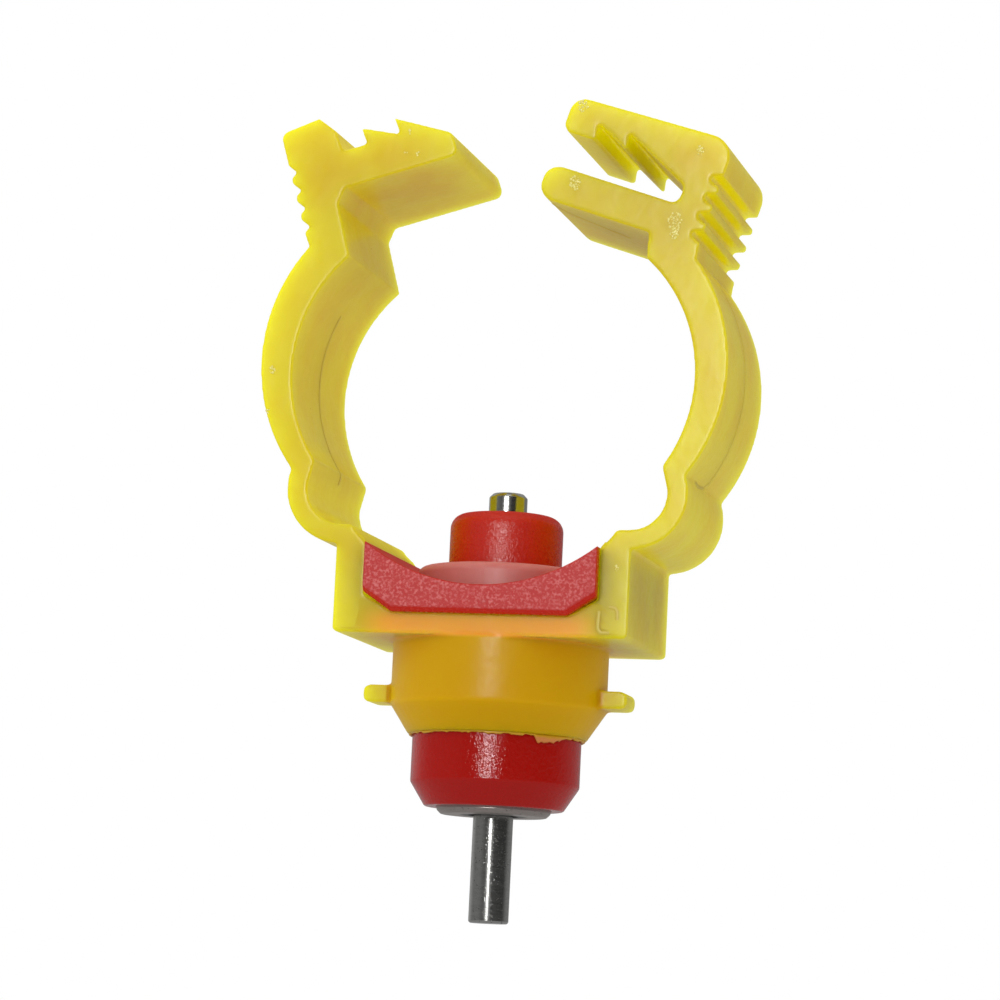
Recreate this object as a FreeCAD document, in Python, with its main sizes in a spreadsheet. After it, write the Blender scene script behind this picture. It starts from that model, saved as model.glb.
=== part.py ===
import FreeCAD, Part
import Sketcher
import math
import os
import re

# Nipple drinker for poultry, with the clamp that holds it under a water pipe.
# The pipe's axis runs along Y through the origin, and the nipple hangs down on the Z axis.
# Millimetres and degrees.

SIZES = {
    # pipe clamp: the arms
    "clamp_depth": 15.1,
    "arm_radius": 11.1,
    "arm_centre_x": 3.4,
    "arm_centre_z": 1.5,
    "arm_foot_angle": 35.0,
    "arm_top_angle": 48.5,
    "arm_wall_foot": 1.75,
    "arm_wall_top": 2.6,
    "arm_back_radius": 12.6,
    "jaw_heel_angle": 37.4,
    "latch_heel_angle": 41.0,
    "arm_root_depth": 1.6,
    "arm_root_turn": 1.5,
    # pipe clamp: the sprung bend at the foot of each arm
    "bend_x": 10.35,
    "bend_z": -6.8,
    "bend_radius": 2.57,
    "bend_wall": 1.35,
    "bend_inner_end_angle": 8.0,
    # pipe clamp: the channel that the saddle sits in
    "channel_width": 21.1,
    "channel_lip": 1.0,
    "channel_lip_height": 1.35,
    "floor_wall": 1.5,
    "channel_corner_radius": 0.35,
    # pipe clamp: the jaw on the right arm
    "jaw_lean": 17.5,
    "jaw_back": 3.22,
    "jaw_throat": 0.5,
    "finger_rise": 1.77,
    "finger_wall": 2.53,
    "finger_reach": 9.05,
    "lip_reach": 8.9,
    "lip_gap": 2.49,
    "lip_chamfer": 0.4,
    "jaw_height": 9.4,
    "jaw_back_rise": 0.35,
    "jaw_tooth_start": 2.54,
    "jaw_tooth_pitch": 2.32,
    "jaw_tooth_undercut": 0.2,
    "slot_end": 0.78,
    "slot_end_height": 1.35,
    "finger_tip_radius": 1.15,
    "slot_radius": 0.6,
    "jaw_corner_radius": 1.6,
    # pipe clamp: the latch on the left arm
    "latch_lean": 16.6,
    "latch_back": 2.78,
    "latch_neck_x": 0.1,
    "latch_neck": 3.94,
    "latch_throat": 0.85,
    "tongue_rise": 4.9,
    "tongue_reach": 9.42,
    "tongue_tip_wall": 1.7,
    "tongue_tip_radius": 0.6,
    "tongue_wall": 2.65,
    "latch_tooth_start": 3.03,
    "latch_tooth_pitch": 2.5,
    "latch_tooth_undercut": 0.14,
    "latch_head": 1.18,
    "latch_head_peak": 0.2,
    "latch_head_height": 10.35,
    "latch_head_drop": 0.3,
    "latch_head_slope": 1.25,
    "latch_corner_radius": 0.6,
    # pipe clamp: the teeth that catch each other
    "tooth_count": 2,
    "tooth_depth": 1.25,
    # pipe clamp: the grip ribs on both backs
    "rib_count": 4,
    "rib_pitch": 1.37,
    "rib_land": 0.42,
    "jaw_rib_depth": 0.78,
    "jaw_rib_start": 7.22,
    "jaw_valley_top": 0.3,
    "jaw_valley_end": 0.75,
    "latch_rib_depth": 0.52,
    "latch_rib_start": 7.65,
    "latch_valley": 0.68,
    # pipe clamp: the round socket under the channel
    "socket_radius": 7.72,
    "socket_chamfer_z": -21.5,
    "socket_rim_radius": 6.35,
    "socket_rim_z": -23.6,
    "socket_bead": 0.22,
    "bead_rise": 0.9,
    "bead_height": 0.7,
    "ear_reach": 9.6,
    "ear_depth": 3.4,
    "ear_height": 1.25,
    "ear_top_z": -20.15,
    "ear_radius": 0.5,
    # red nipple body: the saddle
    "saddle_radius": 13.5,
    "saddle_width": 16.7,
    "saddle_proud": 0.7,
    "saddle_side_z": -14.15,
    "saddle_base_z": -15.5,
    "saddle_base_width": 12.6,
    "saddle_bevel": 0.3,
    "saddle_side_gap": 0.1,
    "saddle_chamfer_gap": 0.2,
    # red nipple body: boss and stem
    "boss_radius": 4.05,
    "boss_top_z": -7.65,
    "boss_round": 1.1,
    "boss_roof": 1.5,
    "neck_radius": 3.85,
    "stem_radius": 6.03,
    "stem_gap": 0.07,
    "stem_chamfer_z": -26.95,
    "stem_end_radius": 4.95,
    "stem_end_z": -28.65,
    "chamber_radius": 2.9,
    # seal ring round the boss
    "seal_seat_z": -13.8,
    "seal_height": 2.2,
    "seal_radius": 6.2,
    "seal_gap": 0.05,
    "seal_seat_gap": 0.1,
    "seal_round": 0.6,
    # steel valve insert
    "insert_radius": 4.07,
    "insert_gap": 0.03,
    "insert_proud": 0.5,
    "insert_chamfer": 0.3,
    "cavity_radius": 3.0,
    "mouth_radius": 1.8,
    "mouth_height": 0.9,
    # steel trigger pin
    "trigger_radius": 1.43,
    "trigger_length": 7.6,
    "trigger_end_chamfer": 0.12,
    "head_radius": 2.6,
    "head_rise": 0.9,
    "seat_gap": 0.1,
    # upper seat, its gasket and the upper valve pin
    "head_room": 1.55,
    "seat_height": 2.4,
    "seat_mouth_radius": 1.5,
    "seat_flare": 1.1,
    "gasket_height": 1.0,
    "pin_radius": 1.375,
    "pin_gap": 0.25,
    "pin_proud": 1.6,
    "pin_end_chamfer": 0.3,
    "pin_head_radius": 2.3,
    "pin_head_height": 1.0,
    "foot_radius": 1.15,
    "foot_gap": 0.3,
}

# Places and sizes that follow from the ones above.
FOLLOWS = {
    "arm_top_x": "(arm_centre_x + arm_radius * cos(arm_top_angle))",
    "arm_top_z": "(arm_centre_z + arm_radius * sin(arm_top_angle))",
    "arm_foot_x": "(arm_centre_x + arm_radius * cos(arm_foot_angle))",
    "arm_foot_z": "(arm_centre_z - arm_radius * sin(arm_foot_angle))",
    "bend_back": "(bend_radius + bend_wall)",
    "notch_x": "(arm_centre_x + (arm_radius + arm_wall_foot) * cos(arm_foot_angle - 2))",
    "notch_z": "(arm_centre_z - (arm_radius + arm_wall_foot) * sin(arm_foot_angle - 2))",
    "wall_top_z": "(bend_z - bend_radius)",
    "channel_half": "(channel_width / 2)",
    "pocket_half": "(saddle_width / 2 + saddle_side_gap)",
    "pocket_base_half": "(saddle_base_width / 2 + saddle_side_gap)",
    "pocket_side_z": "(saddle_side_z - saddle_chamfer_gap)",
    "floor_z": "(saddle_base_z - floor_wall)",
    "stem_bore": "(stem_radius + stem_gap)",
    "bead_z": "(socket_rim_z + bead_rise)",
    "saddle_half": "(saddle_width / 2)",
    "seal_top_z": "(seal_seat_z + seal_height)",
    "saddle_depth": "(clamp_depth + 2 * saddle_proud)",
    "saddle_corner_z": "(0 - sqrt(saddle_radius ^ 2 - saddle_half ^ 2))",
    "finger_top": "(finger_rise + finger_wall)",
    "lip_base": "(finger_top + lip_gap)",
    "tongue_top": "(tongue_rise + tongue_wall)",
    "insert_end_z": "(stem_end_z - insert_proud)",
    "mouth_top_z": "(insert_end_z + mouth_height)",
    "swing_z": "(mouth_top_z - mouth_radius + (head_radius + seat_gap) * sqrt(2))",
    "head_top_z": "(swing_z + head_rise)",
    "seat_base_z": "(head_top_z + head_room)",
    "seat_top_z": "(seat_base_z + seat_height)",
    "shoulder_z": "(seat_top_z + gasket_height)",
    "insert_bore": "(insert_radius + insert_gap)",
    "seat_edge_z": "(seat_top_z - seat_flare)",
    "cone_z": "(seat_edge_z - seat_mouth_radius + seat_gap * sqrt(2))",
    "pin_top_z": "(boss_top_z + pin_proud)",
    "foot_z": "(head_top_z + foot_gap)",
}

NAME = re.compile(r"[a-z]+(?:_[a-z]+)+")


def tied(formula):
    """The formula with every size written as its cell in the sheet."""
    def swap(word):
        name = word[0]
        return tied(FOLLOWS[name]) if name in FOLLOWS else "sizes." + name
    return NAME.sub(swap, formula)


doc = FreeCAD.newDocument("nipple_drinker")
sheet = doc.addObject("Spreadsheet::Sheet", "sizes")
for row, (name, size) in enumerate(SIZES.items(), start=1):
    sheet.set(f"A{row}", str(size))
    sheet.setAlias(f"A{row}", name)
doc.recompute()


def value(formula):
    return float(sheet.evalExpression(tied(formula)))


def new_body(name):
    body = doc.addObject("PartDesign::Body", name)
    body.Label = name
    return body


def plane(body, role):
    return next(item for item in body.Origin.OriginFeatures if item.Role == role)


def new_sketch(body, name):
    """A sketch on the front plane: its own x is X and its own y is Z."""
    sketch = body.newObject("Sketcher::SketchObject", name)
    sketch.AttachmentSupport = (plane(body, "XZ_Plane"), [""])
    sketch.MapMode = "FlatFace"
    return sketch


def lean(sketch, x, z, angle):
    """Puts the sketch's own origin at x, z and turns it, so that its lines stay square."""
    sketch.AttachmentOffset = FreeCAD.Placement(
        FreeCAD.Vector(value(x), value(z), 0),
        FreeCAD.Rotation(FreeCAD.Vector(0, 0, 1), value(angle)),
    )
    sketch.setExpression("AttachmentOffset.Base.x", tied(x))
    sketch.setExpression("AttachmentOffset.Base.y", tied(z))
    sketch.setExpression("AttachmentOffset.Rotation.Angle", tied(angle))


def arc_between(start, end, radius, turn):
    """The shorter arc from start to end. It turns left for 1 and right for -1."""
    if turn < 0:
        start, end = end, start
    across = end - start
    side = FreeCAD.Vector(-across.y, across.x, 0).normalize()
    centre = (start + end) / 2 + side * math.sqrt(max(radius**2 - across.Length**2 / 4, 0))
    first = math.atan2(start.y - centre.y, start.x - centre.x)
    last = math.atan2(end.y - centre.y, end.x - centre.x)
    return Part.ArcOfCircle(Part.Circle(centre, FreeCAD.Vector(0, 0, 1), radius), first, last)


def bind(sketch, constraint, formula):
    index = sketch.addConstraint(constraint)
    sketch.setExpression(f"Constraints[{index}]", tied(formula))


def hold(sketch, line, end, x, z):
    """Ties one end of a line to its place."""
    for kind, axis, formula in (("DistanceX", -2, x), ("DistanceY", -1, z)):
        if formula == "0":
            sketch.addConstraint(Sketcher.Constraint("PointOnObject", line, end, axis))
        else:
            bind(sketch, Sketcher.Constraint(kind, line, end, value(formula)), formula)


def draw(sketch, corners):
    """Draws a closed outline. A corner is (x, z), or (x, z, radius, turn) where an arc follows."""
    spots = [FreeCAD.Vector(value(corner[0]), value(corner[1]), 0) for corner in corners]
    ends = []
    for index, (x, z, *arc) in enumerate(corners):
        start, end = spots[index], spots[(index + 1) % len(spots)]
        if arc:
            line = sketch.addGeometry(arc_between(start, end, value(arc[0]), arc[1]))
            bind(sketch, Sketcher.Constraint("Radius", line, value(arc[0])), arc[0])
            ends.append((line, 1, 2) if arc[1] > 0 else (line, 2, 1))
        else:
            ends.append((sketch.addGeometry(Part.LineSegment(start, end)), 1, 2))
    for index, (line, first, _) in enumerate(ends):
        before, _, last = ends[index - 1]
        sketch.addConstraint(Sketcher.Constraint("Coincident", before, last, line, first))
        hold(sketch, line, first, corners[index][0], corners[index][1])


def outline(body, name, corners, place=None):
    sketch = new_sketch(body, name)
    if place:
        lean(sketch, *place)
    draw(sketch, corners)
    doc.recompute()
    return sketch


def pad(body, name, sketch, depth):
    """A pad of the given depth, half on each side of the front plane."""
    feature = body.newObject("PartDesign::Pad", name)
    feature.Profile = sketch
    feature.SideType = "Symmetric"
    feature.setExpression("Length", tied(depth))
    doc.recompute()


def turned(body, kind, name, corners):
    """A revolution or groove of an outline about the nipple's axis."""
    feature = body.newObject(kind, name)
    feature.Profile = outline(body, name + "_profile", corners)
    feature.ReferenceAxis = (feature.Profile[0], ["V_Axis"])
    feature.Angle = 360
    doc.recompute()


def rounded(body, name, sketch, corners, radius):
    """Rounds the long edges that the given corners of a sketch have drawn."""
    base = body.Tip
    found = []
    for x, z in corners:
        spot = sketch.Placement.multVec(FreeCAD.Vector(value(x), value(z), 0))
        for number, edge in enumerate(base.Shape.Edges, start=1):
            middle = edge.CenterOfMass
            across = max(edge.BoundBox.XLength, edge.BoundBox.ZLength)
            if across < 0.01 and math.hypot(middle.x - spot.x, middle.z - spot.z) < 0.02:
                found.append(f"Edge{number}")
    fillet = body.newObject("PartDesign::Fillet", name)
    fillet.Base = (base, found)
    fillet.setExpression("Radius", tied(radius))
    doc.recompute()


def arm(clamp, side, name, heel_angle):
    """One arm: the sprung bend on the channel's wall, and the arc that grips the pipe."""
    sign = "" if side > 0 else "-1 * "

    def spot(x, z, *arc):
        return (sign + x, z) + ((arc[0], arc[1] * side) if arc else ())

    def polar(radius, angle):
        return f"(arm_centre_x + {radius} * cos({angle}))", f"(arm_centre_z + {radius} * sin({angle}))"

    heel = polar("(arm_radius + arm_wall_top)", heel_angle)
    root = polar("(arm_radius + arm_root_depth)", "(arm_top_angle - arm_root_turn)")
    bend_end_x = "(bend_x + bend_radius * cos(bend_inner_end_angle))"
    bend_end_z = "(bend_z + bend_radius * sin(bend_inner_end_angle))"
    bend_low_z = "(bend_z - bend_back)"
    inner_low_x = "(channel_half - channel_lip)"
    sketch = outline(clamp, name + "_outline", [
        spot(inner_low_x, "wall_top_z"),
        spot("bend_x", "wall_top_z", "bend_radius", 1),
        spot(bend_end_x, bend_end_z),
        spot("arm_foot_x", "arm_foot_z", "arm_radius", 1),
        spot("arm_top_x", "arm_top_z"),
        spot(*root),
        spot(*heel, "arm_back_radius", -1),
        spot("notch_x", "notch_z", "bend_back", -1),
        spot("bend_x", bend_low_z),
        spot(inner_low_x, bend_low_z),
    ])
    pad(clamp, name, sketch, "clamp_depth")


def ribbed_back(back, start, depth, valleys):
    """Corners of the grip ribs down a back, from the top. Valleys are shares of a groove's height."""
    corners = []
    for rib in range(int(value("rib_count"))):
        top = f"({start} - {rib} * rib_pitch)"
        groove = "(rib_pitch - rib_land)"
        corners.append((back, top))
        corners += [(f"({back} - {depth})", f"({top} - {valley} * {groove})") for valley in valleys]
        corners.append((back, f"({top} - {groove})"))
    return corners


def heel(angle, turn):
    """Where the arm's back meets a jaw, seen from the arm's inner end and turned with the jaw."""
    return tuple(
        f"((arm_radius + arm_wall_top) * {way}({angle} + {turn})"
        f" - arm_radius * {way}(arm_top_angle + {turn}))"
        for way in ("cos", "sin")
    )


def jaw(clamp):
    """Two fingers on the right arm. The teeth inside the upper one catch the latch's teeth."""
    tip_x = "(0 - finger_reach)"
    lip_x = "(0 - lip_reach)"
    top_corner = ("jaw_back", "(jaw_height + jaw_back_rise)")
    teeth = []
    for tooth in range(int(value("tooth_count"))):
        edge = f"({lip_x} + jaw_tooth_start + {tooth} * jaw_tooth_pitch)"
        teeth += [(edge, "lip_base"), (f"({edge} - jaw_tooth_undercut)", "(lip_base + tooth_depth)")]
    sketch = outline(clamp, "jaw_outline", [
        ("0", "0"),
        heel("jaw_heel_angle", "jaw_lean"),
        *reversed(ribbed_back("jaw_back", "jaw_rib_start", "jaw_rib_depth",
                              ("jaw_valley_top", "jaw_valley_end"))),
        top_corner,
        (lip_x, "jaw_height"),
        (lip_x, "(lip_base + lip_chamfer)"),
        (f"({lip_x} + lip_chamfer)", "lip_base"),
        *teeth,
        ("slot_end", "(finger_top + slot_end_height)"),
        ("slot_end", "finger_top"),
        (tip_x, "finger_top"),
        (tip_x, "finger_rise"),
        ("(0 - jaw_throat)", "finger_rise"),
    ], place=("arm_top_x", "arm_top_z", "(0 - jaw_lean)"))
    pad(clamp, "jaw", sketch, "clamp_depth")
    rounded(clamp, "finger_tips", sketch, [(tip_x, "finger_top"), (tip_x, "finger_rise"),
                                           (lip_x, "jaw_height")], "finger_tip_radius")
    rounded(clamp, "slot_round", sketch, [("slot_end", "finger_top"),
                                          ("slot_end", "(finger_top + slot_end_height)")], "slot_radius")
    rounded(clamp, "jaw_corner", sketch, [top_corner], "jaw_corner_radius")


def latch(clamp):
    """The toothed tongue on the left arm, with a thumb head above its grip ribs."""
    back = "(0 - latch_back)"
    tips = "(tongue_top + tooth_depth)"
    teeth = []
    for tooth in reversed(range(int(value("tooth_count")))):
        edge = f"(latch_tooth_start + {tooth} * latch_tooth_pitch)"
        teeth += [(edge, tips), (f"({edge} + latch_tooth_undercut)", "tongue_top")]
    grooves = [(f"(0 - {x})", z) for x, z in
               ribbed_back("latch_back", "latch_rib_start", "latch_rib_depth", ("latch_valley",))]
    heel_x, heel_z = heel("latch_heel_angle", "latch_lean")
    head_corner = (back, "(latch_head_height - latch_head_drop)")
    tongue_end = ("tongue_reach", "tongue_rise")
    tongue_edge = ("(tongue_reach - 0.1)", "(tongue_rise + tongue_tip_wall)")
    sketch = outline(clamp, "latch_outline", [
        ("0", "0"),
        ("latch_neck_x", "latch_neck"),
        ("latch_throat", "tongue_rise"),
        tongue_end,
        tongue_edge,
        *teeth,
        ("(latch_head + 0.15)", "tongue_top"),
        ("latch_head", "(latch_head_height - latch_head_slope)"),
        ("latch_head_peak", "latch_head_height"),
        head_corner,
        *grooves,
        (f"(0 - {heel_x})", heel_z),
    ], place=("(0 - arm_top_x)", "arm_top_z", "latch_lean"))
    pad(clamp, "latch", sketch, "clamp_depth")
    rounded(clamp, "tongue_tip", sketch, [tongue_end], "tongue_tip_radius")
    rounded(clamp, "head_corner", sketch, [head_corner, tongue_edge], "latch_corner_radius")


def channel(clamp):
    """The channel under the arms, open to the front and the back, in the form of the saddle."""
    half = [
        ("pocket_base_half", "saddle_base_z"),
        ("pocket_half", "pocket_side_z"),
        ("pocket_half", "(wall_top_z - channel_lip_height)"),
        ("(channel_half - channel_lip)", "wall_top_z"),
        ("channel_half", "wall_top_z"),
        ("channel_half", "floor_z"),
    ]
    other = [(f"(0 - {x})", z) for x, z in reversed(half)]
    sketch = outline(clamp, "channel_outline", half + other)
    pad(clamp, "channel", sketch, "clamp_depth")
    rounded(clamp, "channel_corners", sketch, [half[-1], other[0]], "channel_corner_radius")


def socket(clamp):
    """The round socket under the channel, with two ears and a bead that snaps on the stem."""
    turned(clamp, "PartDesign::Revolution", "socket", [
        ("0", "floor_z"),
        ("socket_radius", "floor_z"),
        ("socket_radius", "socket_chamfer_z"),
        ("socket_rim_radius", "socket_rim_z"),
        ("0", "socket_rim_z"),
    ])
    ends = [("ear_reach", "ear_top_z"), ("ear_reach", "(ear_top_z - ear_height)")]
    ends += [(f"(0 - {x})", z) for x, z in reversed(ends)]
    sketch = outline(clamp, "ear_outline", ends)
    pad(clamp, "ears", sketch, "ear_depth")
    rounded(clamp, "ear_ends", sketch, ends, "ear_radius")
    turned(clamp, "PartDesign::Groove", "socket_bore", [
        ("0", "(saddle_base_z + floor_wall)"),
        ("stem_bore", "(saddle_base_z + floor_wall)"),
        ("stem_bore", "(bead_z + bead_height)"),
        ("(stem_bore - socket_bead)", "(bead_z + 0.6 * bead_height)"),
        ("(stem_bore - socket_bead)", "(bead_z + 0.4 * bead_height)"),
        ("stem_bore", "bead_z"),
        ("stem_bore", "(socket_rim_z - bead_rise)"),
        ("0", "(socket_rim_z - bead_rise)"),
    ])


def make_clamp():
    clamp = new_body("clamp")
    channel(clamp)
    arm(clamp, 1, "right_arm", "jaw_heel_angle")
    arm(clamp, -1, "left_arm", "latch_heel_angle")
    jaw(clamp)
    latch(clamp)
    socket(clamp)
    return clamp


def bevel_saddle(body):
    """Bevels the lower edges of the saddle's front and back faces."""
    base = body.Tip
    face_y = value("saddle_depth") / 2
    side_z = value("saddle_side_z")
    found = []
    for number, edge in enumerate(base.Shape.Edges, start=1):
        on_face = abs(abs(edge.CenterOfMass.y) - face_y) < 0.001
        if on_face and all(vertex.Z < side_z + 0.001 for vertex in edge.Vertexes):
            found.append(f"Edge{number}")
    bevel = body.newObject("PartDesign::Chamfer", "saddle_bevel")
    bevel.Base = (base, found)
    bevel.setExpression("Size", tied("saddle_bevel"))
    doc.recompute()


def make_nipple_body():
    """One red moulding: the saddle, the boss that enters the pipe, and the stem below.

    The seal ring sits round a neck under the boss, which keeps it on.
    """
    body = new_body("nipple_body")
    sketch = outline(body, "saddle_outline", [
        ("(0 - saddle_half)", "saddle_corner_z", "saddle_radius", 1),
        ("saddle_half", "saddle_corner_z"),
        ("saddle_half", "saddle_side_z"),
        ("(saddle_base_width / 2)", "saddle_base_z"),
        ("(0 - saddle_base_width / 2)", "saddle_base_z"),
        ("(0 - saddle_half)", "saddle_side_z"),
    ])
    pad(body, "saddle", sketch, "saddle_depth")
    bevel_saddle(body)
    turned(body, "PartDesign::Groove", "seal_seat", [
        ("0", "seal_seat_z"),
        ("(seal_radius + seal_seat_gap)", "seal_seat_z"),
        ("(seal_radius + seal_seat_gap)", "saddle_corner_z"),
        ("0", "saddle_corner_z"),
    ])
    stem_top = "((seal_seat_z + saddle_base_z) / 2)"
    groove_radius = "(stem_bore - socket_bead - stem_gap)"
    turned(body, "PartDesign::Revolution", "boss_and_stem", [
        ("0", "stem_end_z"),
        ("stem_end_radius", "stem_end_z"),
        ("stem_radius", "stem_chamfer_z"),
        ("stem_radius", "(bead_z - stem_gap)"),
        (groove_radius, "(bead_z + 0.4 * bead_height - stem_gap)"),
        (groove_radius, "(bead_z + 0.6 * bead_height + stem_gap)"),
        ("stem_radius", "(bead_z + bead_height + stem_gap)"),
        ("stem_radius", stem_top),
        ("neck_radius", stem_top),
        ("neck_radius", "seal_top_z"),
        ("boss_radius", "seal_top_z"),
        ("boss_radius", "(boss_top_z - boss_round)", "boss_round", 1),
        ("(boss_radius - boss_round)", "boss_top_z"),
        ("0", "boss_top_z"),
    ])
    turned(body, "PartDesign::Groove", "water_way", [
        ("0", "(stem_end_z - insert_proud)"),
        ("insert_bore", "(stem_end_z - insert_proud)"),
        ("insert_bore", "shoulder_z"),
        ("chamber_radius", "shoulder_z"),
        ("chamber_radius", "(boss_top_z - boss_roof)"),
        ("(pin_radius + pin_gap)", "(boss_top_z - boss_roof)"),
        ("(pin_radius + pin_gap)", "(boss_top_z + boss_roof)"),
        ("0", "(boss_top_z + boss_roof)"),
    ])
    return body


def make_turned_part(name, corners):
    body = new_body(name)
    turned(body, "PartDesign::Revolution", name + "_turned", corners)
    return body


def make_seal_ring():
    bore = "(neck_radius + seal_gap)"
    return make_turned_part("seal_ring", [
        (bore, "seal_seat_z"),
        ("seal_radius", "seal_seat_z"),
        ("seal_radius", "(seal_top_z - seal_round)", "seal_round", 1),
        ("(seal_radius - seal_round)", "seal_top_z"),
        (bore, "seal_top_z"),
    ])


def make_valve_insert():
    """A steel cup pressed into the stem. Its mouth lets the trigger pin out."""
    return make_turned_part("valve_insert", [
        ("mouth_radius", "insert_end_z"),
        ("(insert_radius - insert_chamfer)", "insert_end_z"),
        ("insert_radius", "(insert_end_z + insert_chamfer)"),
        ("insert_radius", "seat_base_z"),
        ("cavity_radius", "seat_base_z"),
        ("cavity_radius", "(mouth_top_z + cavity_radius - mouth_radius)"),
        ("mouth_radius", "mouth_top_z"),
    ])


def make_upper_seat():
    return make_turned_part("upper_seat", [
        ("seat_mouth_radius", "seat_base_z"),
        ("insert_radius", "seat_base_z"),
        ("insert_radius", "seat_top_z"),
        ("(seat_mouth_radius + seat_flare)", "seat_top_z"),
        ("seat_mouth_radius", "seat_edge_z"),
    ])


def make_gasket():
    return make_turned_part("gasket", [
        ("chamber_radius", "seat_top_z"),
        ("insert_radius", "seat_top_z"),
        ("insert_radius", "shoulder_z"),
        ("chamber_radius", "shoulder_z"),
    ])


def make_upper_pin():
    """The valve pin: a foot for the trigger to push, a cone on the upper seat, and a long stem."""
    shoulder = "(cone_z + pin_head_radius)"
    return make_turned_part("upper_pin", [
        ("0", "foot_z"),
        ("foot_radius", "foot_z"),
        ("foot_radius", "(cone_z + foot_radius)"),
        ("pin_head_radius", shoulder),
        ("pin_head_radius", f"({shoulder} + pin_head_height)"),
        ("pin_radius", f"({shoulder} + pin_head_height)"),
        ("pin_radius", "(pin_top_z - pin_end_chamfer)"),
        ("(pin_radius - pin_end_chamfer)", "pin_top_z"),
        ("0", "pin_top_z"),
    ])


def make_trigger_pin():
    """The pin that a bird pecks: a round-shouldered head in the insert, and a stem below it."""
    end_z = "(insert_end_z - trigger_length)"
    return make_turned_part("trigger_pin", [
        ("0", end_z),
        ("(trigger_radius - trigger_end_chamfer)", end_z),
        ("trigger_radius", f"({end_z} + trigger_end_chamfer)"),
        ("trigger_radius", "(swing_z - sqrt(head_radius ^ 2 - trigger_radius ^ 2))", "head_radius", 1),
        ("head_radius", "swing_z"),
        ("head_radius", "head_top_z"),
        ("0", "head_top_z"),
    ])


pieces = [
    make_clamp(),
    make_nipple_body(),
    make_seal_ring(),
    make_gasket(),
    make_upper_seat(),
    make_valve_insert(),
    make_upper_pin(),
    make_trigger_pin(),
]
doc.recompute()

for item in doc.Objects:
    if "Invalid" in item.State or "Error" in item.State:
        raise RuntimeError(f"{item.Name} failed: {item.State}")

os.makedirs("parts", exist_ok=True)
for piece in pieces:
    shape = piece.Shape
    if shape.isNull() or not shape.isValid() or len(shape.Solids) != 1:
        raise RuntimeError(f"{piece.Label} is not one valid solid")
    shape.exportStep(f"parts/{piece.Label}.step")
    box = shape.BoundBox
    print(f"{piece.Label}: {shape.Volume:.1f} mm3, x {box.XMin:.2f} to {box.XMax:.2f},"
          f" y {box.YMin:.2f} to {box.YMax:.2f}, z {box.ZMin:.2f} to {box.ZMax:.2f}")
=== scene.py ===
import math

import bmesh
import bpy
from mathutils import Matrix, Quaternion, Vector


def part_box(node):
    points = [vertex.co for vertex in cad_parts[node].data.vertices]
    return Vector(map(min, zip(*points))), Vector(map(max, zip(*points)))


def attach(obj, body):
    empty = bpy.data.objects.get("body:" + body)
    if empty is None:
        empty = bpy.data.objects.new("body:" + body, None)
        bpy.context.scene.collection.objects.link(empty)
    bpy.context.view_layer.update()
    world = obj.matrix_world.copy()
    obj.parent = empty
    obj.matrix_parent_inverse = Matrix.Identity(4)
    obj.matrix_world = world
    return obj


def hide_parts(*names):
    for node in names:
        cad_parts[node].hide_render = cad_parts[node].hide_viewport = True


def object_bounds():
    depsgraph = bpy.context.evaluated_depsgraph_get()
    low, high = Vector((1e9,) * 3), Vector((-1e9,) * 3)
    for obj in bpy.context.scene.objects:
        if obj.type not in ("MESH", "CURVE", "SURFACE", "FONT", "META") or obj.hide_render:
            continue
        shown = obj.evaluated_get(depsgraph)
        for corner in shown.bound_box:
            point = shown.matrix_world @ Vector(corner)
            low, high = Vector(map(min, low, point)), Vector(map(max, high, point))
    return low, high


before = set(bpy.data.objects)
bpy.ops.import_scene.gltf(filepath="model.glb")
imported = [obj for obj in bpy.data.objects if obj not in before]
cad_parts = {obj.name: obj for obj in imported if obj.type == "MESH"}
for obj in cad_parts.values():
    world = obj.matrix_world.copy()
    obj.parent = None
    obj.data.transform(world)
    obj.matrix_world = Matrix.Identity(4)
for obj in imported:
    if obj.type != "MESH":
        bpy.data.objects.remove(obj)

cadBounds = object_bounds()
mm = 0.001
scene = bpy.context.scene
scene.view_settings.view_transform = "Standard"


# trees of nodes, for shaders and for geometry

class Value:
    # one output of a node. Arithmetic on it adds Math nodes.
    def __init__(self, tree, socket):
        self.tree = tree
        self.socket = socket

    def math(self, operation, first, second=0.0):
        return self.tree.add("ShaderNodeMath", {"operation": operation}, {0: first, 1: second})

    def __add__(self, other):
        return self.math("ADD", self, other)

    __radd__ = __add__

    def __sub__(self, other):
        return self.math("SUBTRACT", self, other)

    def __rsub__(self, other):
        return self.math("SUBTRACT", other, self)

    def __mul__(self, other):
        return self.math("MULTIPLY", self, other)

    __rmul__ = __mul__

    def __pow__(self, other):
        return self.math("POWER", self, other)

    def __abs__(self):
        return self.math("ABSOLUTE", self)

    def above(self, other):
        return self.math("MAXIMUM", self, other)


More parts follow.
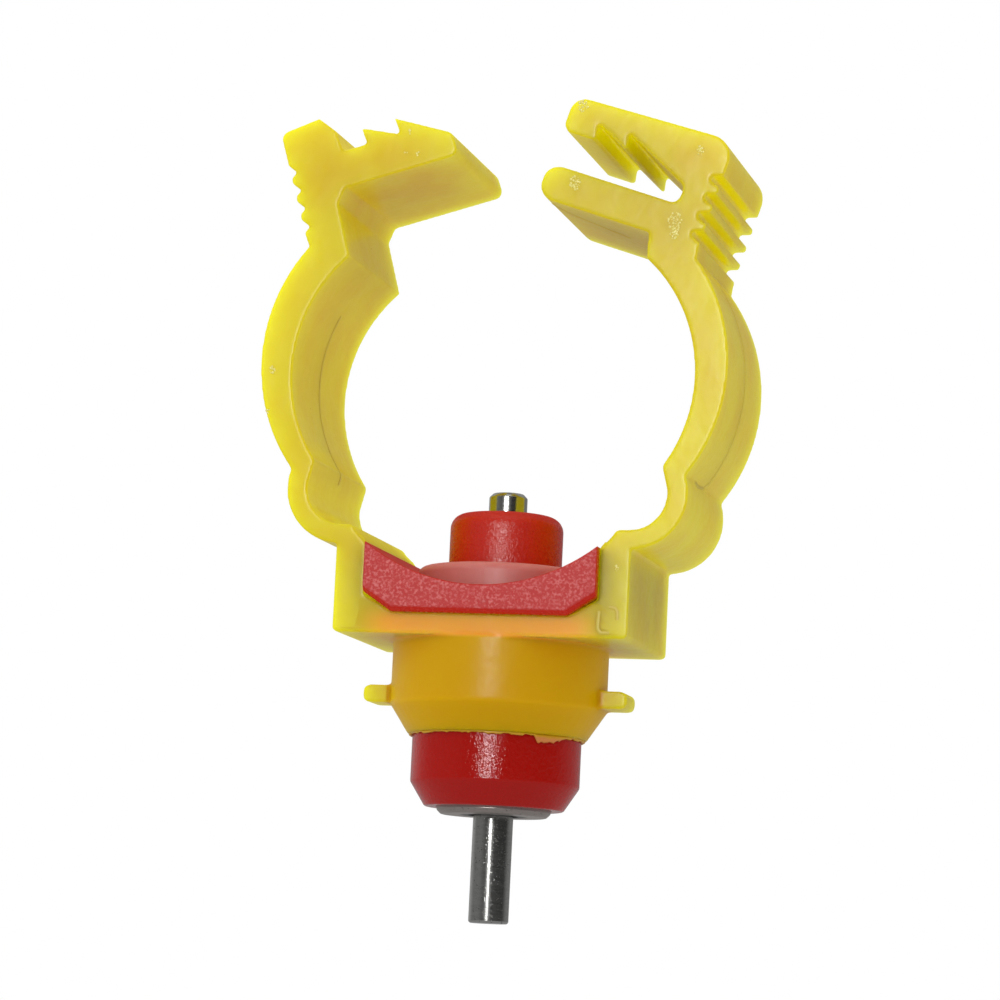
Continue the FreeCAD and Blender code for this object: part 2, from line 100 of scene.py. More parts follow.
class Tree:
    # a node tree that is being filled
    def __init__(self, nodeTree):
        self.nodeTree = nodeTree

    def add(self, kind, settings=None, sockets=None, out=0):
        node = self.nodeTree.nodes.new(kind)
        for name, value in (settings or {}).items():
            setattr(node, name, value)
        for name, value in (sockets or {}).items():
            if isinstance(value, Value):
                self.nodeTree.links.new(value.socket, node.inputs[name])
            else:
                node.inputs[name].default_value = value
        return Value(self, node.outputs[out]) if len(node.outputs) else node

    def split(self, vector):
        node = self.add("ShaderNodeSeparateXYZ", None, {0: vector}).socket.node
        return [Value(self, socket) for socket in node.outputs]

    def join(self, x, y, z):
        return self.add("ShaderNodeCombineXYZ", None, {0: x, 1: y, 2: z})

    def step(self, value, low, high, toLow=0.0, toHigh=1.0):
        # toLow up to low, toHigh from high, and a smooth way between them
        return self.add("ShaderNodeMapRange", {"interpolation_type": "SMOOTHSTEP"},
                        {0: value, 1: low, 2: high, 3: toLow, 4: toHigh})


class Shader(Tree):
    def __init__(self, name):
        self.material = bpy.data.materials.new(name)
        self.material.use_nodes = True
        super().__init__(self.material.node_tree)
        self.nodeTree.nodes.clear()
        self.place = self.add("ShaderNodeTexCoord", out=3)   # Object coordinates, in metres
        self.x, self.y, self.z = self.split(self.place)
        self.fromAxis = (self.x * self.x + self.y * self.y) ** 0.5
        # 1 on faces that look up, which are left dull so that they don't glare from behind
        up = self.split(self.add("ShaderNodeTexCoord", out=1))[2]
        self.onTop = self.step(up, 0.35, 0.8)

    def noise(self, perMm, detail=2.0, roughness=0.5, place=None):
        return self.add("ShaderNodeTexNoise", None,
                        {"Vector": self.place if place is None else place, "Scale": perMm / mm,
                         "Detail": detail, "Roughness": roughness})

    def mix(self, share, first, second):
        return self.add("ShaderNodeMix", {"data_type": "RGBA"},
                        {0: share, 6: colour(first), 7: colour(second)}, out=2)

    def bump(self, height, depthMm, strength=1.0):
        return self.add("ShaderNodeBump", None,
                        {"Height": height, "Distance": depthMm * mm, "Strength": strength})

    def finish(self, **sockets):
        named = {name: colour(value) for name, value in sockets.items()}
        shine = self.add("ShaderNodeBsdfPrincipled", None,
                         {name.replace("_", " "): value for name, value in named.items()})
        self.add("ShaderNodeOutputMaterial", None, {0: shine})
        return self.material


def colour(value):
    # a hex colour as linear light, anything else as it is
    if not isinstance(value, str):
        return value
    shares = [int(value[at:at + 2], 16) / 255 for at in (0, 2, 4)]
    linear = [s / 12.92 if s <= 0.04045 else ((s + 0.055) / 1.055) ** 2.4 for s in shares]
    return (*linear, 1)


# finishes

dullTop = 0.6       # what is added to the roughness of faces that look up

clampFinish = {
    "yellow": "CCB920",
    "yellowWarm": "C8AD1A",
    # painted light: the nooks get a brighter, deeper yellow, for light that has come far through the
    # plastic
    "nookGlowYellow": "FFE400",       # in the nooks, where light has come far through the plastic
    # painted: the socket's amber stands for the red body showing through its thin wall
    "socketAmber": "D2A300",
    # painted light: orange glow on the channel floor's front wall, for red light coming through the yellow
    "channelGlowOrange": "FFAA3C",
    # darker brownish patches on the lower right side
    "lowerRightPatches": "B8973E",
    "roughness": 0.32,
    "armDepthMm": 12.0,            # how far light goes in
    "socketDepthMm": 1.6,
    "armMirrored": 0.22, "socketMirrored": 0.14,
}


def clampPlastic(name, depth, mirrored):
    shader = Shader(name)
    cloud = shader.noise(0.22, 3.0)
    grain = shader.noise(2.4, 4.0, 0.6)
    ripple = shader.noise(1.1, 1.0)
    outside = shader.add("ShaderNodeAmbientOcclusion", {"samples": 6}, {"Distance": 3.2 * mm}, out=1)
    # painted light: nooks found by ambient occlusion are coloured brighter and deeper yellow
    paintedNookGlow = shader.step(outside, 0.22, 0.8, 1.0, 0.0)
    # painted: the socket's thin wall is tinted amber for the red body that shows through it
    amber = shader.step(shader.z, -17.2 * mm, -16.9 * mm, 1.0, 0.0) \
        * shader.step(shader.fromAxis, 7.85 * mm, 8.3 * mm, 1.0, 0.0)
    # painted light: orange glow on the front wall of the channel floor
    channelFloorGlow = shader.step(abs(shader.x), 5.6 * mm, 9.4 * mm, 1.0, 0.0) \
        * shader.step(shader.z, -16.2 * mm, -14.6 * mm, 1.0, 0.0) * 0.9
    # darker brownish patches on the lower right side, towards the bottom
    lowerRightPatches = shader.step(shader.x, 10.3 * mm, 10.5 * mm) \
        * shader.step(shader.z, -13 * mm, -9 * mm, 1.0, 0.0) \
        * shader.step(shader.noise(0.5, 4.0, 0.6), 0.35, 0.75)
    base = shader.mix(shader.step(cloud, 0.35, 0.7), clampFinish["yellow"], clampFinish["yellowWarm"])
    base = shader.mix(paintedNookGlow * (1 - amber), base, clampFinish["nookGlowYellow"])
    base = shader.mix(channelFloorGlow, base, clampFinish["channelGlowOrange"])
    base = shader.mix(lowerRightPatches * 0.35, base, clampFinish["lowerRightPatches"])
    base = shader.mix(amber, base, clampFinish["socketAmber"])
    return shader.finish(
        Base_Color=base,
        Roughness=clampFinish["roughness"] + (grain - 0.5) * 0.2 + shader.onTop * dullTop,
        Subsurface_Weight=1.0,
        Subsurface_Radius=(1.0, 0.95, 0.12),
        Subsurface_Scale=depth * mm,
        Specular_IOR_Level=mirrored,
        Normal=shader.bump(cloud + ripple * 0.12, 0.2, 0.5),
    )


trimFinish = {
    # two yellows that the noise runs between, and a roughness
    "line": ("D2BC34", "C8B02C", 0.4),
    # painted highlight: the blisters' pale yellows stand for the sparkle on them
    "blisterSparkle": ("F0E690", "E2D45C", 0.12),
    "lipEdge": "D0803C", "lip": "CC9A14", "lipRoughness": 0.28,
}


def matteYellow(name, light, dark, roughness):
    # thin lines and spots on the clamp, too fine for light to go into
    shader = Shader(name)
    return shader.finish(
        Base_Color=shader.mix(shader.noise(1.5, 3.0), light, dark),
        Roughness=roughness + shader.noise(5.0) * 0.1,
        Specular_IOR_Level=0.5,
    )


def thinPlastic():
    # the ragged lip is thin enough for the red to show through
    shader = Shader("thinPlastic")
    edge = shader.step(shader.z + shader.noise(2.0) * 0.3 * mm, -23.75 * mm, -23.5 * mm)
    return shader.finish(
        Base_Color=shader.mix(edge, trimFinish["lipEdge"], trimFinish["lip"]),
        Roughness=trimFinish["lipRoughness"] + shader.noise(4.0) * 0.1,
        Specular_IOR_Level=0.4,
        Normal=shader.bump(shader.noise(3.0, 3.0), 0.04, 0.6),
    )


bodyFinish = {
    "red": "A6120A",
    "rimRed": "C4200F",
    "bossRed": "C42410",
    "texturedRed": "C22A27",
    # painted highlight: pale sparkle on the saddle's real sand-blasted grain
    "paintedSparkleGrain": "EE9290",
    "bossRoughness": 0.27,
    "stemRoughness": 0.07,
}


def bodyPlastic(faceY):
    shader = Shader("bodyPlastic")
    textured = shader.step(abs(shader.y), faceY - 0.05 * mm, faceY - 0.005 * mm)
    rim = shader.step(abs(shader.y), faceY - 0.45 * mm, faceY - 0.3 * mm)
    sand = shader.noise(5.0, 4.0, 0.7)
    patch = shader.noise(1.3, 2.0)
    # painted highlight: pale sparkle spots on the real sand-blasted grain of the saddle faces
    paintedSparkle = shader.step(sand, 0.46, 0.64) * shader.step(patch, 0.25, 0.75, 0.3, 0.55)
    fine = shader.noise(3.6, 3.0, 0.65)
    stem = shader.step(shader.z, -23.5 * mm, -22.5 * mm, 1.0, 0.0)
    boss, polished = bodyFinish["bossRoughness"], bodyFinish["stemRoughness"]
    smooth = boss + stem * (polished - boss)
    base = shader.mix(stem, bodyFinish["bossRed"], bodyFinish["red"])
    base = shader.mix(rim, base, bodyFinish["rimRed"])
    base = shader.mix(textured, base, bodyFinish["texturedRed"])
    base = shader.mix(textured * paintedSparkle, base, bodyFinish["paintedSparkleGrain"])
    # the boss is a little rougher to the light than the stem
    ripple = shader.step(fine, 0.3, 0.7) * (0.26 - stem * 0.08)
    height = sand * textured + ripple * (1 - textured)
    return shader.finish(
        Base_Color=base,
        Roughness=smooth + textured * 0.12 + (fine - 0.5) * 0.1 + shader.onTop * dullTop,
        Subsurface_Weight=0.1,
        Subsurface_Radius=(1.0, 0.1, 0.06),
        Subsurface_Scale=0.7 * mm,
        Specular_IOR_Level=0.3,
        Normal=shader.bump(height, 0.09, 0.8),
    )


sealFinish = {"pink": "C56E66", "palePink": "CE7E76", "roughness": 0.42, "depthMm": 1.2}


def softSeal():
    shader = Shader("softSeal")
    cloud = shader.noise(0.5, 2.0)
    return shader.finish(
        Base_Color=shader.mix(cloud, sealFinish["pink"], sealFinish["palePink"]),
        Roughness=sealFinish["roughness"] + (shader.noise(4.0, 2.0) - 0.5) * 0.1 + shader.onTop * dullTop,
        Subsurface_Weight=0.5,
        Subsurface_Radius=(1.0, 0.55, 0.5),
        Subsurface_Scale=sealFinish["depthMm"] * mm,
        Specular_IOR_Level=0.3,
        Normal=shader.bump(shader.noise(2.5, 3.0), 0.03, 0.4),
    )


steelFinish = {
    # roughness, how many pits, and two greys that the turning marks run between
    "pin": (0.17, 1.0, "A4A4A1", "BBBBB8"),
    "valve": (0.2, 0.0, "A4A4A1", "BBBBB8"),
    "insert": (0.36, 0.6, "A39994", "B8AEA9"),
    "pit": "4A4A48",
    # painted shadow: the insert is darkened round its mouth, for a recess that isn't modelled
    "mouth": "181413", "mouthMm": 2.6,      # the insert is dark round its mouth
}


def turnedSteel(name, roughness, pits, dark, light, mouth=0.0):
    shader = Shader(name)
    # painted shadow round the mouth
    shade = shader.step(shader.fromAxis, 0.8 * mouth, mouth, 1.0, 0.0) if mouth else 0.0
    stretched = shader.join(shader.x, shader.y, shader.z * 5.0)
    rings = shader.noise(1.4, 3.0, 0.6, stretched)
    pit = shader.step(shader.noise(6.5, 1.0), 0.27, 0.34, 1.0, 0.0) * pits
    dents = shader.noise(2.6, 2.0, 0.6)
    metal = shader.mix(pit, shader.mix(rings, dark, light), steelFinish["pit"])
    return shader.finish(
        Base_Color=shader.mix(shade, metal, steelFinish["mouth"]),
        Metallic=1.0,
        Roughness=roughness + (rings - 0.5) * 0.1 + pit * 0.25,
        Normal=shader.bump(rings * 0.1 + dents * 0.3 - pit, 0.02, 0.35),
    )


rubberFinish = {"black": "141414", "worn": "222222", "roughness": 0.6}


def blackRubber():
    shader = Shader("blackRubber")
    return shader.finish(
        Base_Color=shader.mix(shader.noise(2.0), rubberFinish["black"], rubberFinish["worn"]),
        Roughness=rubberFinish["roughness"],
    )


# skins: copies of the solids with rounded edges

skins = {
    "nipple_body": {"round": 0.12, "segments": 3},
    "seal_ring": {"round": 0.1, "segments": 3},
    "valve_insert": {"round": 0.08, "segments": 2},
    "upper_pin": {"round": 0.06, "segments": 2},
    "trigger_pin": {"round": 0.05, "segments": 2},
}
sharpAngle = math.radians(25)


def meshOf(thing):
    # the evaluated object as a plain mesh
    graph = bpy.context.evaluated_depsgraph_get()
    return bpy.data.meshes.new_from_object(thing.evaluated_get(graph), depsgraph=graph)


def applyModifiers(thing):
    bpy.context.view_layer.update()
    plain = meshOf(thing)
    thing.modifiers.clear()
    thing.data = plain
    return thing


def makeObject(name, mesh):
    thing = bpy.data.objects.new(name, mesh)
    scene.collection.objects.link(thing)
    return thing


def mergedCopy(node):
    shape = bmesh.new()
    shape.from_mesh(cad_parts[node].data)
    bmesh.ops.remove_doubles(shape, verts=shape.verts, dist=0.0001 * mm)
    return shape


moulded = {
    "grainMm": 0.13,        # how fine the softened surface is
    "softenSteps": 6,       # more steps round the edges more
    "keepShare": 0.26,
    "channelHalfMm": 8.8,   # the nipple's saddle is squeezed in here
    "channelMm": (-15.9, -9.6),
    "squeezeMm": 0.11,
    # where light doesn't go in far: the socket, and the thin wall in front of the channel's floor
    "socketTop": -16.9, "socketAcross": 8.0,
    "wallFront": -7.4, "wallTop": -14.6, "wallHalf": 8.8,
}


def squeezeChannel(mesh):
    half, (low, high) = moulded["channelHalfMm"] * mm, moulded["channelMm"]
    inside = [(vertex, vertex.normal.copy()) for vertex in mesh.vertices
              if abs(vertex.co.x) < half and low * mm < vertex.co.z < high * mm]
    for vertex, normal in inside:
        vertex.co += Vector((normal.x, 0, normal.z)) * moulded["squeezeMm"] * mm


def mouldedSkin(node, name, materials, body):
    # one soft surface over the whole solid, for a moulding whose edges are all rounded
    shape = mergedCopy(node)
    mesh = bpy.data.meshes.new(name)
    shape.to_mesh(mesh)
    shape.free()
    thing = makeObject(name, mesh)
    remesh = thing.modifiers.new("evenGrain", "REMESH")
    remesh.mode = "VOXEL"
    remesh.voxel_size = moulded["grainMm"] * mm
    remesh.use_smooth_shade = True
    soften = thing.modifiers.new("roundEdges", "SMOOTH")
    soften.factor = 0.5
    soften.iterations = moulded["softenSteps"]
    fewer = thing.modifiers.new("fewerFaces", "DECIMATE")
    fewer.ratio = moulded["keepShare"]
    weighted = thing.modifiers.new("flatFaces", "WEIGHTED_NORMAL")
    weighted.keep_sharp = False
    applyModifiers(thing)
    squeezeChannel(thing.data)
    thing.data.materials.clear()
    for material in materials:
        thing.data.materials.append(material)
    for face in thing.data.polygons:
        x, y, z = face.center / mm
        socket = z < moulded["socketTop"] and math.hypot(x, y) < moulded["socketAcross"]
        wall = y < moulded["wallFront"] and z < moulded["wallTop"] and abs(x) < moulded["wallHalf"]
        face.material_index = int(socket or wall)
    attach(thing, body)
    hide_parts(node)
    print("moulded skin:", name, len(thing.data.polygons), "faces")
    return thing


def skin(node, name, material, body):
    values = skins[node]
    shape = mergedCopy(node)
    bmesh.ops.dissolve_limit(shape, angle_limit=math.radians(0.5), verts=shape.verts, edges=shape.edges)
    weights = shape.edges.layers.float.new("bevel_weight_edge")
    for edge in shape.edges:
        if edge.calc_face_angle(0) > sharpAngle:
            edge[weights] = 1.0
    for face in shape.faces:
        face.smooth = True
    mesh = bpy.data.meshes.new(name)
    shape.to_mesh(mesh)
    shape.free()
    thing = makeObject(name, mesh)
    bevel = thing.modifiers.new("roundEdges", "BEVEL")
    bevel.limit_method = "WEIGHT"
    bevel.width = values["round"] * mm
    bevel.segments = values["segments"]
    bevel.use_clamp_overlap = False
    bevel.miter_outer = "MITER_ARC"
    bevel.harden_normals = False
    weighted = thing.modifiers.new("flatFaces", "WEIGHTED_NORMAL")
    weighted.keep_sharp = True
    applyModifiers(thing)
    thing.data.materials.clear()
    thing.data.materials.append(material)
    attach(thing, body)
    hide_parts(node)
    print("skin:", name, len(thing.data.polygons), "faces")
    return thing


# Geometry Nodes: a tree, its named inputs, and the plain mesh it gives

class GeometryTree(Tree):
    def __init__(self, name, inputs):
        super().__init__(bpy.data.node_groups.new(name, "GeometryNodeTree"))
        self.identifiers = {}
        kinds = {float: "NodeSocketFloat", int: "NodeSocketInt"}
        self.nodeTree.interface.new_socket("Geometry", in_out="INPUT", socket_type="NodeSocketGeometry")
        for label, value in inputs.items():
            kind = kinds.get(type(value), "NodeSocket" + type(value).__name__)
            made = self.nodeTree.interface.new_socket(label, in_out="INPUT", socket_type=kind)
            self.identifiers[label] = made.identifier
        self.nodeTree.interface.new_socket("Geometry", in_out="OUTPUT", socket_type="NodeSocketGeometry")
        self.inputs = inputs
        given = self.nodeTree.nodes.new("NodeGroupInput")
        self.given = {socket.name: Value(self, socket) for socket in given.outputs if socket.name}

    def close(self, geometry):
        # the last two nodes: real faces, and their material
        real = self.add("GeometryNodeRealizeInstances", None, {0: geometry})
        smooth = self.add("GeometryNodeSetShadeSmooth", None, {0: real})
        dressed = self.add("GeometryNodeSetMaterial", None,
                           {"Geometry": smooth, "Material": self.given["Material"]})
        self.add("NodeGroupOutput", None, {0: dressed})

    def grow(self, name, mesh, body):
        thing = makeObject(name, mesh)
        modifier = thing.modifiers.new(name, "NODES")
        modifier.node_group = self.nodeTree
        for label, value in self.inputs.items():
            modifier[self.identifiers[label]] = value
        applyModifiers(thing)
        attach(thing, body)
        print("grown:", name, len(thing.data.polygons), "faces")
        return thing


clampYellow = clampPlastic("clampYellow", clampFinish["armDepthMm"], clampFinish["armMirrored"])
socketAmber = clampPlastic("socketAmber", clampFinish["socketDepthMm"], clampFinish["socketMirrored"])
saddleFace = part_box("nipple_body")[1].y
bodyRed = bodyPlastic(saddleFace)
sealPink = softSeal()
pinSteel = turnedSteel("pinSteel", *steelFinish["pin"])
valveSteel = turnedSteel("valveSteel", *steelFinish["valve"])
insertSteel = turnedSteel("insertSteel", *steelFinish["insert"], steelFinish["mouthMm"] * mm)

clampSkin = mouldedSkin("clamp", "clampMoulding", (clampYellow, socketAmber), "housing")
skin("nipple_body", "nippleMoulding", bodyRed, "housing")
skin("seal_ring", "sealRing", sealPink, "housing")
skin("valve_insert", "valveInsert", insertSteel, "housing")
skin("upper_pin", "valvePin", valveSteel, "valve")
skin("trigger_pin", "triggerPin", pinSteel, "trigger")

# flash: a thin ragged lip where the socket's mould closed round the stem

flash = {
    "rim": -23.55, "radius": 6.17, "thick": 0.26,
    "ragged": 0.16,               # how far the lip hangs down, in millimetres
    "flapFrom": 37.0, "flapTo": 70.0, "flapHang": 0.46,   # degrees from the front, towards +X
    "steps": 900, "around": 9, "grain": 1.4, "fineGrain": 4.5,
}


def makeFlash():
    named = {name: float(flash[name] * mm) for name in ("rim", "radius", "thick", "ragged", "flapHang")}
    tree = GeometryTree("flashLip", {**named, "steps": flash["steps"], "around": flash["around"],
                                     "flapFrom": flash["flapFrom"], "flapTo": flash["flapTo"],
                                     "grain": flash["grain"] / mm, "fineGrain": flash["fineGrain"] / mm,
                                     "Material": flashPlastic})
    given = tree.given
    grid = tree.add("GeometryNodeMeshGrid", None,
                    {"Size X": 1.0, "Size Y": 1.0,
                     "Vertices X": given["steps"], "Vertices Y": given["around"]})
    u, v, _ = tree.split(tree.add("GeometryNodeInputPosition"))
    degrees, turned = u * 360.0, u * (2 * math.pi)
    sine = tree.add("ShaderNodeMath", {"operation": "SINE"}, {0: turned})
    cosine = tree.add("ShaderNodeMath", {"operation": "COSINE"}, {0: turned})
    ring = tree.join(sine * given["radius"], cosine * given["radius"], 0.0)
    coarse = tree.add("ShaderNodeTexNoise", None,
                      {"Vector": ring, "Scale": given["grain"], "Detail": 2.0})
    fine = tree.add("ShaderNodeTexNoise", None,
                    {"Vector": ring, "Scale": given["fineGrain"], "Detail": 3.0})
    ragged = tree.step(coarse, 0.42, 0.62) * 0.6 + fine * 0.6
    flap = tree.step(degrees, given["flapFrom"], given["flapFrom"] + 4.0) \
        * tree.step(degrees, given["flapFrom"] + 8.0, given["flapTo"], 1.0, 0.0)
    hang = given["ragged"] * ragged + given["flapHang"] * flap * (0.75 + fine * 0.5)
    turn = v * 2 * math.pi
    up = tree.add("ShaderNodeMath", {"operation": "SINE"}, {0: turn})
    out = tree.add("ShaderNodeMath", {"operation": "COSINE"}, {0: turn})
    radius = given["radius"] + given["thick"] * out * 0.5 - flap * given["thick"] * 0.15
    height = given["rim"] - hang * 0.5 + (hang * 0.5 + 0.04 * mm) * up
    place = tree.join(sine * radius, cosine * radius * -1.0, height)
    lip = tree.add("GeometryNodeSetPosition", None, {"Geometry": grid, "Position": place})
    closed = tree.add("GeometryNodeMergeByDistance", None, {"Geometry": lip, "Distance": 0.001 * mm})
    tree.close(closed)
    lipObject = tree.grow("flash", bpy.data.meshes.new("flash"), "housing")
    turnOutwards(lipObject.data)


# parting line: the fine ridge that the two halves of the mould left at mid depth

parting = {
    "wide": 0.6, "proud": 0.035, "spacing": 0.2,
    "inside": (-14.0, 7.0),       # from where to where up the arms, in millimetres
    "outside": (-5.0, 9.4),
    "armCentre": (3.4, 1.5), "armMiddle": 12.2,
    # shorter marks of the same kind, as points on the clamp
    "marks": (
        ((14.6, 0.1, -5.0), (14.3, -0.7, -5.5), (14.22, -2.6, -5.63), (14.19, -4.1, -5.49)),
        ((8.5, -7.55, -15.1), (8.45, -7.55, -16.3), (8.65, -7.55, -16.62), (9.3, -7.55, -16.6)),
        ((9.82, -7.55, -15.7), (9.8, -7.55, -15.1), (9.6, -7.55, -14.85), (9.2, -7.55, -14.8)),
        ((3.4, -5.6, 14.0), (4.63, -3.6, 13.6), (6.28, -2.5, 13.08), (8.3, -1.2, 12.46)),
    ),
}


def onArm(place):
    centreX, centreZ = parting["armCentre"]
    away = math.hypot(abs(place.x) / mm - centreX, place.z / mm - centreZ)
    low, high = parting["outside"] if away > parting["armMiddle"] else parting["inside"]
    return low < place.z / mm < high and abs(place.x) > 7.5 * mm


def middleOutline():
    # the edges where the clamp's solid crosses Y = 0, on the arms only
    shape = mergedCopy("clamp")
    cut = bmesh.ops.bisect_plane(shape, geom=shape.verts[:] + shape.edges[:] + shape.faces[:],
                                 plane_co=(0, 0, 0), plane_no=(0, 1, 0), dist=0.0001 * mm)
    edges = [part for part in cut["geom_cut"] if isinstance(part, bmesh.types.BMEdge)]
    kept = [edge for edge in edges if all(onArm(end.co) for end in edge.verts)]
    numbers, places = {}, []
    for edge in kept:
        for end in edge.verts:
            if end not in numbers:
                numbers[end] = len(places)
                places.append(end.co.copy())
    links = [[numbers[end] for end in edge.verts] for edge in kept]
    shape.free()
    for mark in parting["marks"]:
        links += [(len(places) + step, len(places) + step + 1) for step in range(len(mark) - 1)]
        places += [Vector(point) * mm for point in mark]
    mesh = bpy.data.meshes.new("partingLine")
    mesh.from_pydata(places, links, [])
    return mesh


def makePartingLine(onto):
    tree = GeometryTree("partingRidge", {"wide": parting["wide"] * mm, "proud": parting["proud"] * mm,
                                         "spacing": parting["spacing"] * mm,
                                         "Object": onto, "Material": lineYellow})
    given = tree.given
    curve = tree.add("GeometryNodeMeshToCurve", None, {0: given["Geometry"]})
    even = tree.add("GeometryNodeResampleCurve", {"mode": "LENGTH"},
                    {"Curve": curve, "Length": given["spacing"]})
    surface = tree.add("GeometryNodeObjectInfo", None, {"Object": given["Object"]}, out=4)
    nearest = tree.add("GeometryNodeProximity", {"target_element": "FACES"}, {0: surface})
    facing = tree.add("GeometryNodeInputNormal")
    outwards = tree.add("GeometryNodeSampleNearestSurface", {"data_type": "FLOAT_VECTOR"},
                        {"Mesh": surface, "Value": facing})
    sunk = tree.add("ShaderNodeVectorMath", {"operation": "SCALE"},
                    {0: outwards, "Scale": given["proud"] - given["wide"] * 0.5})
    centre = tree.add("ShaderNodeVectorMath", {"operation": "ADD"}, {0: nearest, 1: sunk})
    settled = tree.add("GeometryNodeSetPosition", None, {"Geometry": even, "Position": centre})
    profile = tree.add("GeometryNodeCurvePrimitiveCircle", None,
                       {"Resolution": 24, "Radius": given["wide"] * 0.5})
    ridge = tree.add("GeometryNodeCurveToMesh", None,
                     {"Curve": settled, "Profile Curve": profile, "Fill Caps": True})
    tree.close(ridge)
    ridgeObject = tree.grow("partingLine", middleOutline(), "housing")
    turnOutwards(ridgeObject.data)


def turnOutwards(mesh):
    shape = bmesh.new()
    shape.from_mesh(mesh)
    bmesh.ops.remove_doubles(shape, verts=shape.verts, dist=0.0005 * mm)
    bmesh.ops.recalc_face_normals(shape, faces=shape.faces)
    shape.to_mesh(mesh)
    shape.free()


# blisters: little raised spots that the mould left on the clamp's front, coloured pale yellow as a painted
# sparkle

blisters = {
    # centre across and up, and how wide the patch is, in millimetres
    "patches": ((5.72, 20.66, 0.9), (5.40, 15.13, 1.0), (12.67, 12.44, 1.3), (14.23, 17.50, 0.7),
                (12.62, 11.60, 0.9), (-6.76, 18.80, 0.35), (-6.98, 17.35, 0.3), (-6.09, 17.20, 0.3),
                (-15.9, 1.5, 0.6), (-16.1, -1.4, 0.4), (9.6, -12.1, 0.4)),
    "face": -7.55,
    "spacing": 0.1, "size": 0.17, "rise": 0.4, "seed": 4, "perSquareMm": 70.0,
}


def patchMesh():
    shape = bmesh.new()
    for x, z, across in blisters["patches"]:
        made = bmesh.ops.create_circle(shape, cap_ends=True, segments=12, radius=across / 2 * mm)
        for vertex in made["verts"]:
            vertex.co = Vector((x * mm + vertex.co.x * 0.75, blisters["face"] * mm, z * mm + vertex.co.y))
    mesh = bpy.data.meshes.new("blisters")
    shape.to_mesh(mesh)
    shape.free()
    return mesh


def makeBlisters():
    tree = GeometryTree("blisterSpots", {"spacing": blisters["spacing"] * mm, "size": blisters["size"] * mm,
                                         "rise": blisters["rise"], "seed": blisters["seed"],
                                         "Material": blisterYellow})
    given = tree.given
    points = tree.add("GeometryNodeDistributePointsOnFaces", {"distribute_method": "POISSON"},
                      {"Mesh": given["Geometry"], "Distance Min": given["spacing"],
                       "Density Max": blisters["perSquareMm"] * 1.0e6, "Seed": given["seed"]})
    ball = tree.add("GeometryNodeMeshIcoSphere", None, {"Radius": given["size"] * 0.5, "Subdivisions": 2})
    flat = tree.add("GeometryNodeTransform", None,
                    {"Geometry": ball, "Scale": tree.join(1.0, given["rise"], 1.0)})
    share = tree.add("FunctionNodeRandomValue", {"data_type": "FLOAT"},
                     {"Min": 0.3, "Max": 1.3, "Seed": given["seed"]}, out=1)
    spots = tree.add("GeometryNodeInstanceOnPoints", None,
                     {"Points": points, "Instance": flat, "Scale": share})
    tree.close(spots)
    tree.grow("blisters", patchMesh(), "housing")


flashPlastic = thinPlastic()
lineYellow = matteYellow("lineYellow", *trimFinish["line"])
blisterYellow = matteYellow("blisterYellow", *trimFinish["blisterSparkle"])
makeFlash()
makePartingLine(clampSkin)
makeBlisters()

for node, material in (("gasket", blackRubber()), ("upper_seat", insertSteel)):
    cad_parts[node].data.materials.clear()
    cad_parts[node].data.materials.append(material)


# floor, light and camera

stageValues = {
    "floorBelowMm": 24.0,
    "floorAcrossMm": 3000.0,
    "floor": "E9E9E7",
    # how bright the floor is to the surfaces over it, darker near the object as a painted shadow under it,
    # and to what they mirror
    "bouncedNear": 0.6, "bouncedFar": 0.95, "mirroredFloor": 0.38,
}


def floorLook():
    shader = Shader("paleFloor")
    far = shader.step(shader.fromAxis, 90 * mm, 260 * mm)
    ground = shader.add("ShaderNodeBsdfDiffuse", None,
                        {"Color": shader.mix(shader.noise(0.02), stageValues["floor"], "F1F1EF")})
    white = shader.add("ShaderNodeEmission", None, {"Color": (1, 1, 1, 1), "Strength": 1.0})
    path = shader.add("ShaderNodeLightPath").socket.node
    seen, mirrored = (Value(shader, path.outputs[name]) for name in ("Is Camera Ray", "Is Glossy Ray"))
    visible = shader.add("ShaderNodeMixShader", None, {0: far, 1: ground, 2: white})
    # painted shadow: the floor gives less light near the object
    under = shader.step(shader.fromAxis, 30 * mm, 110 * mm,
                        stageValues["bouncedNear"], stageValues["bouncedFar"])
    level = under * (1 - mirrored) + mirrored * stageValues["mirroredFloor"]
    bounced = shader.add("ShaderNodeEmission", None, {"Color": (1, 1, 1, 1), "Strength": level})
    both = shader.add("ShaderNodeMixShader", None, {0: seen, 1: bounced, 2: visible})
    shader.add("ShaderNodeOutputMaterial", None, {0: both})
    return shader.material


def makeFloor():
    low = cadBounds[0].z - stageValues["floorBelowMm"] * mm
    half = stageValues["floorAcrossMm"] * mm / 2
    shape = bmesh.new()
    bmesh.ops.create_circle(shape, cap_ends=True, segments=96, radius=half)
    bmesh.ops.translate(shape, verts=shape.verts, vec=(0, 0, low))
    mesh = bpy.data.meshes.new("floor")
    shape.to_mesh(mesh)
    shape.free()
    mesh.materials.append(floorLook())
    makeObject("floor", mesh)


lamps = {
    # azimuth and elevation in degrees, distance, width and height in millimetres
    "key": {"azimuth": 0, "elevation": 25, "distance": 500, "size": (260, 260), "power": 0.08,
            "mirrored": False},
    "shine": {"azimuth": 1, "elevation": 9, "distance": 500, "size": (95, 130), "power": 1.45,
              "lit": False},
    "top": {"azimuth": 20, "elevation": 75, "distance": 500, "size": (300, 300), "power": 0.3},
}


def towards(azimuth, elevation):
    a, e = math.radians(azimuth), math.radians(elevation)
    return Vector((math.sin(a) * math.cos(e), -math.cos(a) * math.cos(e), math.sin(e)))


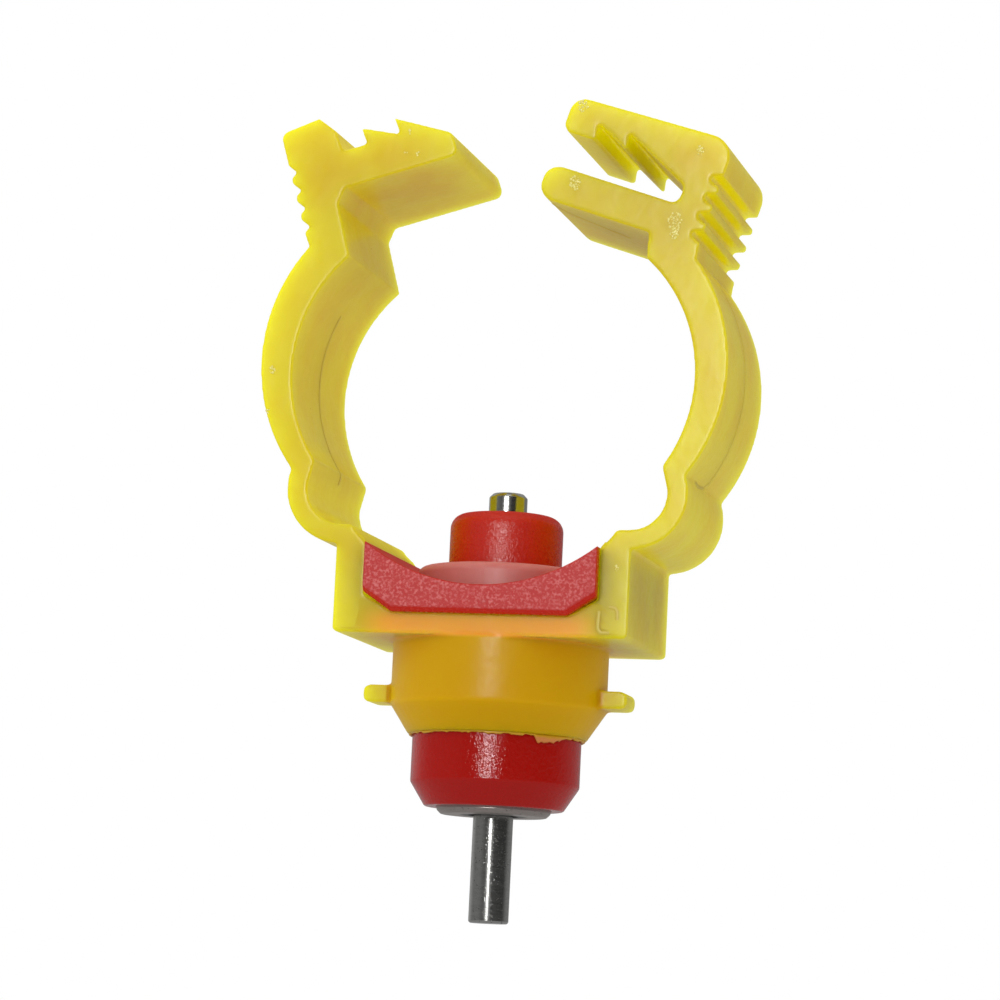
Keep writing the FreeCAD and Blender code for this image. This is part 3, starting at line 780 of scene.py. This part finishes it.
def makeLamps():
    for name, values in lamps.items():
        light = bpy.data.lights.new(name, "AREA")
        light.shape = "RECTANGLE"
        light.size = values["size"][0] * mm
        light.size_y = values["size"][1] * mm
        light.energy = values["power"]
        thing = bpy.data.objects.new(name, light)
        scene.collection.objects.link(thing)
        way = towards(values["azimuth"], values["elevation"])
        thing.location = way * values["distance"] * mm
        thing.rotation_euler = way.to_track_quat("Z", "Y").to_euler()
        thing.visible_glossy = values.get("mirrored", True)
        thing.visible_diffuse = values.get("lit", True)


worldValues = {
    "ambient": 0.93,
    "leftOverRight": 0.26,
    # what shiny surfaces mirror
    "front": 0.02, "left": 0.22, "back": 0.26, "top": 0.24,
}


def makeWorld():
    world = bpy.data.worlds.new("studio")
    scene.world = world
    world.use_nodes = True
    world.node_tree.nodes.clear()
    tree = Tree(world.node_tree)
    x, y, z = tree.split(tree.add("ShaderNodeTexCoord", out=0))
    path = tree.add("ShaderNodeLightPath").socket.node
    camera, glossy, through = (Value(tree, path.outputs[name])
                               for name in ("Is Camera Ray", "Is Glossy Ray", "Is Transmission Ray"))
    mirrored = worldValues["front"] + tree.step(x, -0.9, -0.2, worldValues["left"], 0.0) \
        + tree.step(y, 0.0, 0.7, 0.0, worldValues["back"]) + tree.step(z, 0.2, 0.9, 0.0, worldValues["top"])
    ambient = worldValues["ambient"] - x * worldValues["leftOverRight"]
    level = ambient * (1 - glossy) + mirrored * glossy
    seen = camera.above(through)
    strength = level * (1 - seen) + seen
    background = tree.add("ShaderNodeBackground", None, {"Color": (1, 1, 1, 1), "Strength": strength})
    tree.add("ShaderNodeOutputWorld", None, {0: background})


cameraValues = {
    "azimuth": 12.902, "elevation": -7.3, "roll": 2.778, "distance": 302.158,
    "aim": (-0.782, 0.674, -6.391), "lens": 151.2, "sensor": 36.0,
}


def makeCamera():
    data = bpy.data.cameras.new("camera")
    data.lens = cameraValues["lens"]
    data.sensor_width = cameraValues["sensor"]
    data.clip_start = 0.01
    data.clip_end = 10
    thing = bpy.data.objects.new("camera", data)
    scene.collection.objects.link(thing)
    back = towards(cameraValues["azimuth"], cameraValues["elevation"])
    turn = (-back).to_track_quat("-Z", "Y") @ Quaternion((0, 0, 1), math.radians(cameraValues["roll"]))
    thing.rotation_mode = "QUATERNION"
    thing.rotation_quaternion = turn
    thing.location = (Vector(cameraValues["aim"]) + back * cameraValues["distance"]) * mm
    scene.camera = thing


makeFloor()
makeLamps()
makeWorld()
makeCamera()
print("stage, lamps and camera are set")
